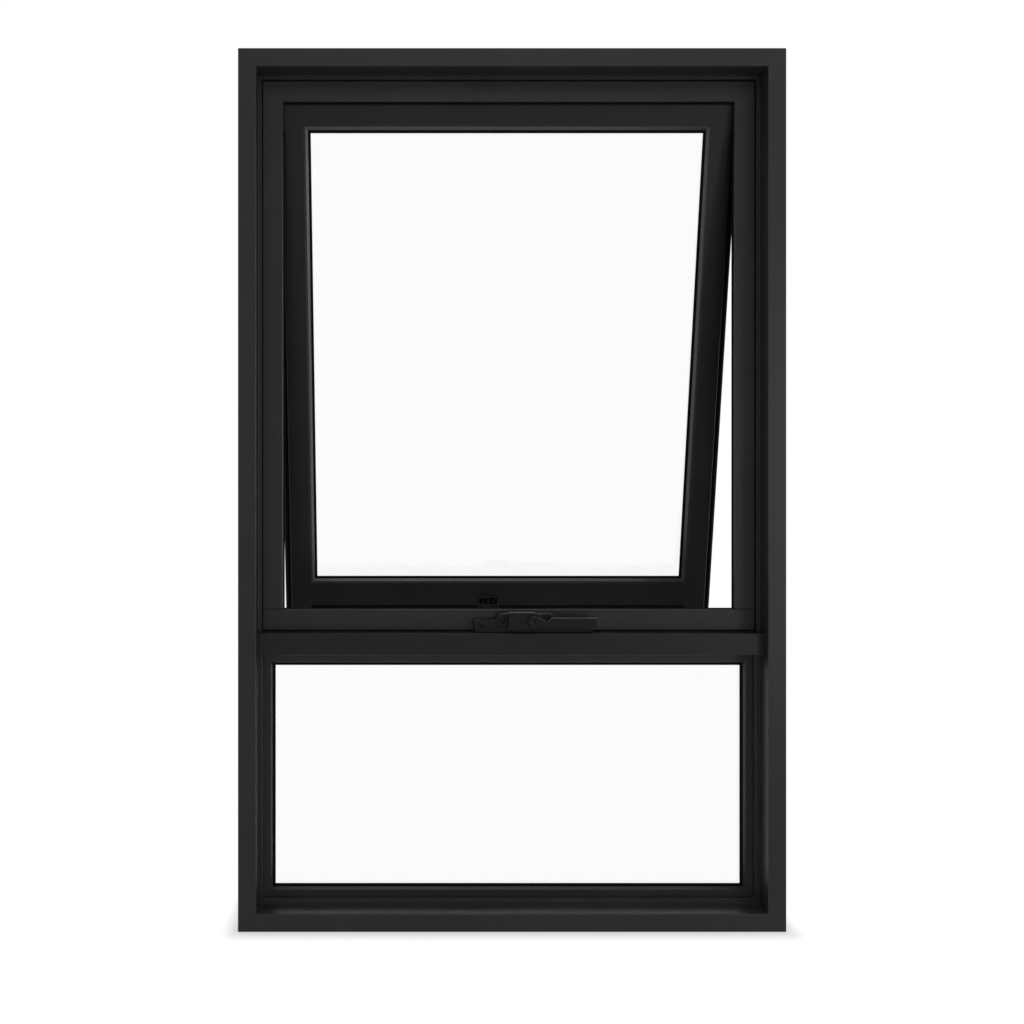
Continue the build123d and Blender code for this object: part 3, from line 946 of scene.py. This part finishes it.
@dataclass
class Winder:
    """The chain winder on the sill, its chain and the bracket on the sash."""

    dresser: Dresser
    screws: Screws
    body_edge: float = 1.4 * MM
    handle_edge: float = 1.2 * MM
    cast_edge_faces: int = 3
    pin_edge: float = 0.5 * MM
    pin_edge_faces: int = 2
    pin_rim: float = 1.5 * MM
    pin_dish: float = 1.1 * MM
    cap_radius: float = 6.5 * MM
    cap_height: float = 1.6 * MM
    cap_sides: int = 48
    cap_gap: float = 0.5 * MM
    cap_ring: float = 1.2 * MM
    cap_ring_land: float = 0.25
    cap_ring_depths: tuple[float, ...] = (-0.5, 0.5, -0.7)
    cap_edge: float = 0.25 * MM
    cap_screw_rise: float = 0.3
    cap_screw_turn: float = 0.2
    cap_screw_scale: float = 0.75
    gearbox_radius: float = 11 * MM
    bracket_edge: float = 0.4 * MM
    chain_edge: float = 0.15 * MM
    chain_edge_faces: int = 1
    flank_inset: float = 14 * MM
    flank_height: float = 11 * MM
    flank_screw_turns: tuple[float, float] = (0.3, 0.9)
    base_depth: float = 15 * MM
    loop_side: float = 0.255
    loop_drop: float = 7.7 * MM
    loop_proud: float = 4 * MM
    loop_screw_turn: float = 0.5
    loop_screw_scale: float = 0.95

    def build(self) -> None:
        """Finishes each piece, adds the gearbox's cap and sets the screws."""
        palette = self.dresser.palette
        for node, edge in (
            ("winder_base", self.body_edge),
            ("winder_arm", self.body_edge),
            ("winder_handle", self.handle_edge),
            ("chain_bracket", self.bracket_edge),
        ):
            self.dresser.eased(node, edge, palette.cast_coat, Slot.HARDWARE, self.cast_edge_faces)
        links = self.chain_edge, palette.steel, Slot.STEEL, self.chain_edge_faces
        self.dresser.eased("winder_chain", *links)
        self.pin()
        self.cap()
        self.base_screws()
        self.bracket_screws()

    def pin(self) -> None:
        """Finishes the pivot pin, whose head is dished inside a rim."""
        piece = self.dresser.copy("winder_pin")
        select_faces(piece, ROOM)
        bpy.ops.mesh.inset(thickness=self.pin_rim, depth=-self.pin_dish)
        leave_edit()
        dressing = self.pin_edge, self.dresser.palette.steel, Slot.STEEL, self.pin_edge_faces
        self.dresser.dress(piece, "winder_pin", *dressing)

    def cap(self) -> None:
        """Models the ringed cap beside the crank arm, with a screw in its middle."""
        base_low, base_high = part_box("winder_base")
        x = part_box("winder_arm")[0].x - self.cap_gap - self.cap_radius
        seat = Vector((x, base_low.y, base_high.z - self.gearbox_radius))
        bpy.ops.object.select_all(action="DESELECT")
        bpy.ops.mesh.primitive_cylinder_add(
            vertices=self.cap_sides,
            radius=self.cap_radius,
            depth=self.cap_height,
            location=seat + ROOM * (self.cap_height / 2),
            rotation=(math.pi / 2, 0, 0),
        )
        cap = bpy.context.active_object
        cap.name = "gearbox_cap"
        settle(cap)
        select_faces(cap, ROOM)
        land = self.cap_ring * self.cap_ring_land
        bank = self.cap_ring * (1.0 - self.cap_ring_land)
        for depth in self.cap_ring_depths:
            bpy.ops.mesh.inset(thickness=land, depth=0.0)
            bpy.ops.mesh.inset(thickness=bank, depth=self.cap_height * depth)
        leave_edit()
        ease_edges(cap, self.cap_edge)
        attach(cap, self.dresser.palette.cast_coat)
        seat += ROOM * (self.cap_height * self.cap_screw_rise)
        self.screws.add("gearbox_screw", seat, ROOM, self.cap_screw_turn, self.cap_screw_scale)

    def base_screws(self) -> None:
        """Sets the screws on the flanks of the base."""
        low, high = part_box("winder_base")
        front = high.y - self.base_depth
        middle = low.z + self.flank_height
        left_turn, right_turn = self.flank_screw_turns
        for name, x, turn in (
            ("base_screw_left", low.x + self.flank_inset, left_turn),
            ("base_screw_right", high.x - self.flank_inset, right_turn),
        ):
            self.screws.add(name, Vector((x, front, middle)), ROOM, turn)

    def bracket_screws(self) -> None:
        """Sets a screw in each loop of the bracket, on its tilted plate."""
        toward, up = slope(self.dresser.nodes["sash_glass"])
        corners = [corner.co for corner in self.dresser.nodes["chain_bracket"].data.vertices]
        left = min(corner.x for corner in corners)
        right = max(corner.x for corner in corners)
        top = max(corner.dot(up) for corner in corners) - self.loop_drop
        plate = max(corner.dot(toward) for corner in corners) - self.loop_proud
        for name, share in (
            ("bracket_screw_left", self.loop_side),
            ("bracket_screw_right", 1 - self.loop_side),
        ):
            seat = RIGHT * (left + (right - left) * share) + up * top + toward * plate
            self.screws.add(name, seat, toward, self.loop_screw_turn, self.loop_screw_scale)


@dataclass(frozen=True)
class Lamp:
    """One soft lamp of the studio. Gloss says whether coats and panes show it."""

    name: str
    spot: tuple[float, float, float]
    width: float
    height: float
    power: float
    gloss: bool = True

    def hang(self, target: Vector) -> None:
        """Hangs the lamp so that it looks at a target.

        Args:
            target: The place that it looks at.
        """
        data = bpy.data.lights.new(self.name, "AREA")
        data.shape = "RECTANGLE"
        data.size = self.width
        data.size_y = self.height
        data.energy = self.power
        lamp = bpy.data.objects.new(self.name, data)
        lamp.location = self.spot
        lamp.rotation_euler = (target - lamp.location).to_track_quat("-Z", "Y").to_euler()
        lamp.visible_glossy = self.gloss
        lamp.visible_transmission = self.gloss
        bpy.context.scene.collection.objects.link(lamp)


@dataclass
class Studio:
    """The floor, the lamps, the world and the camera."""

    front: float
    eye_x: float = -180 * MM
    eye_z: float = 685 * MM
    distance: float = 1250 * MM
    scale_mm: float = 1.549
    eye_pixel: tuple[float, float] = (396.0, 490.0)
    floor_size: float = 24.0
    floor_colour: tuple[float, float, float, float] = (0.9, 0.9, 0.9, 1.0)
    shadow_reach: float = 25 * MM
    shadow_glow: float = 0.36
    ambient: float = 0.62
    card_size: float = 14.0
    card_gap: float = 2.2
    card_level: float = 0.23
    lamps: tuple[Lamp, ...] = (
        Lamp("soft", (0.1, -3.2, 0.9), 1.4, 1.4, 46.0, gloss=False),
        Lamp("key", (2.6, -2.6, 0.7), 1.2, 2.2, 17.0),
        Lamp("fill", (-2.8, -2.6, 0.7), 1.2, 2.2, 6.0),
        Lamp("front", (0.5, -3.0, 3.1), 2.8, 1.4, 4.0),
        Lamp("side", (3.2, -0.5, 0.9), 1.2, 2.4, 20.0),
        Lamp("top", (0.2, -0.6, 3.4), 2.0, 1.0, 6.0),
    )

    def build(self) -> None:
        """Makes the whole studio."""
        bpy.context.scene.view_settings.view_transform = "Standard"
        self.camera()
        self.floor()
        self.card()
        self.world()
        low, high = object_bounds()
        for lamp in self.lamps:
            lamp.hang((low + high) / 2)

    def camera(self) -> None:
        """Sets the camera level, square to the window and shifted as the photograph is."""
        data = bpy.data.cameras.new("view")
        pixels_per_distance = self.distance / (self.scale_mm * MM)
        data.sensor_width = SENSOR_MM
        data.lens = SENSOR_MM * pixels_per_distance / IMAGE_PIXELS
        data.shift_x = (IMAGE_PIXELS / 2 - self.eye_pixel[0]) / IMAGE_PIXELS
        data.shift_y = (self.eye_pixel[1] - IMAGE_PIXELS / 2) / IMAGE_PIXELS
        eye = bpy.data.objects.new("view", data)
        eye.location = (self.eye_x, self.front - self.distance, self.eye_z)
        eye.rotation_euler = (math.pi / 2, 0, 0)
        bpy.context.scene.collection.objects.link(eye)
        bpy.context.scene.camera = eye

    def seen(self, graph: Graph) -> Value:
        """Gives 1 for a ray that shows the background to the eye, a gloss or a pane.

        Args:
            graph: The graph of the floor or the world.

        Returns:
            1 for such a ray and 0 for others.
        """
        path = graph.node("ShaderNodeLightPath")
        hidden: Value | float = 1.0
        for name in ("Is Camera Ray", "Is Glossy Ray", "Is Transmission Ray"):
            hidden = (1.0 - Value(graph, path.outputs[name])) * hidden
        return 1.0 - hidden

    def beyond(self, graph: Graph) -> Value:
        """Gives 0 at the foot of the outer frame, rising to 1 where its shadow ends.

        Args:
            graph: The graph of the floor.

        Returns:
            The rise, by the distance from the foot.
        """
        low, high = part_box("outer_sill")
        spot = graph.value("ShaderNodeTexCoord", "Object")
        parts = graph.node("ShaderNodeSeparateXYZ", None, {"Vector": spot})
        squares = []
        for axis, span in ((0, high.x - low.x), (1, high.y - low.y)):
            reach = graph.maths("ABSOLUTE", Value(graph, parts.outputs[axis]), 0.0) - span / 2
            outside = graph.maths("MAXIMUM", reach, 0.0)
            squares.append(outside * outside)
        away = graph.maths("SQRT", squares[0] + squares[1], 0.0)
        return graph.maths("MINIMUM", away * (1.0 / self.shadow_reach), 1.0)

    def floor(self) -> None:
        """Lays a pale floor that keeps the window's shadow."""
        bpy.ops.object.select_all(action="DESELECT")
        bpy.ops.mesh.primitive_plane_add(size=self.floor_size)
        floor = bpy.context.active_object
        floor.name = "floor"
        made = new_material("pale_floor")
        graph = Graph(made.node_tree)
        matt = graph.value("ShaderNodeBsdfDiffuse", 0, None, {"Color": self.floor_colour})
        glow = graph.value("ShaderNodeEmission", 0, None, {"Color": WHITE})
        share = self.shadow_glow + (1.0 - self.shadow_glow) * self.beyond(graph)
        mixed = {0: self.seen(graph) * share, 1: matt, 2: glow}
        shader = graph.value("ShaderNodeMixShader", 0, None, mixed)
        graph.node("ShaderNodeOutputMaterial", None, {"Surface": shader})
        floor.data.materials.append(made)
        floor.visible_glossy = False
        floor.visible_transmission = False
        floor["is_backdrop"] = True

    def card(self) -> None:
        """Hangs a dim card behind the camera, which only shows as gloss on the room side."""
        bpy.ops.object.select_all(action="DESELECT")
        bpy.ops.mesh.primitive_plane_add(
            size=self.card_size,
            location=(0, self.front - self.distance - self.card_gap, 0),
            rotation=(math.pi / 2, 0, 0),
        )
        card = bpy.context.active_object
        card.name = "room_card"
        made = new_material("dim_card")
        graph = Graph(made.node_tree)
        glow = graph.value("ShaderNodeEmission", 0, None, {"Strength": self.card_level})
        graph.node("ShaderNodeOutputMaterial", None, {"Surface": glow})
        card.data.materials.append(made)
        card.visible_camera = False
        card.visible_transmission = False
        card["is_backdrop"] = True

    def world(self) -> None:
        """Sets a white surround, with a plain level of light from it."""
        world = bpy.data.worlds.new("surround")
        world.use_nodes = True
        bpy.context.scene.world = world
        graph = Graph(world.node_tree)
        strength = self.ambient + (1.0 - self.ambient) * self.seen(graph)
        inputs = {"Color": WHITE, "Strength": strength}
        shader = graph.value("ShaderNodeBackground", 0, None, inputs)
        graph.node("ShaderNodeOutputWorld", None, {"Surface": shader})


def corners(box: Iterable[Vector]) -> list[list[float]]:
    """Gives a box as plain lists of numbers."""
    return [[float(number) for number in corner] for corner in box]


def main() -> None:
    """Loads the frame and builds every sub-assembly in order."""
    logging.basicConfig(level=logging.INFO, format="%(message)s")
    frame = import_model()
    palette = Palette()
    dresser = Dresser(frame["nodes"], palette)
    Studio(front=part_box("outer_sill")[0].y).build()
    OuterFrame(dresser).build()
    seals = Seals(palette)
    AwningFrame(dresser, seals).build()
    FixedLight(dresser).build()
    Sash(dresser, seals).build()
    Winder(dresser, Screws(palette)).build()


if __name__ == "__main__":
    main()
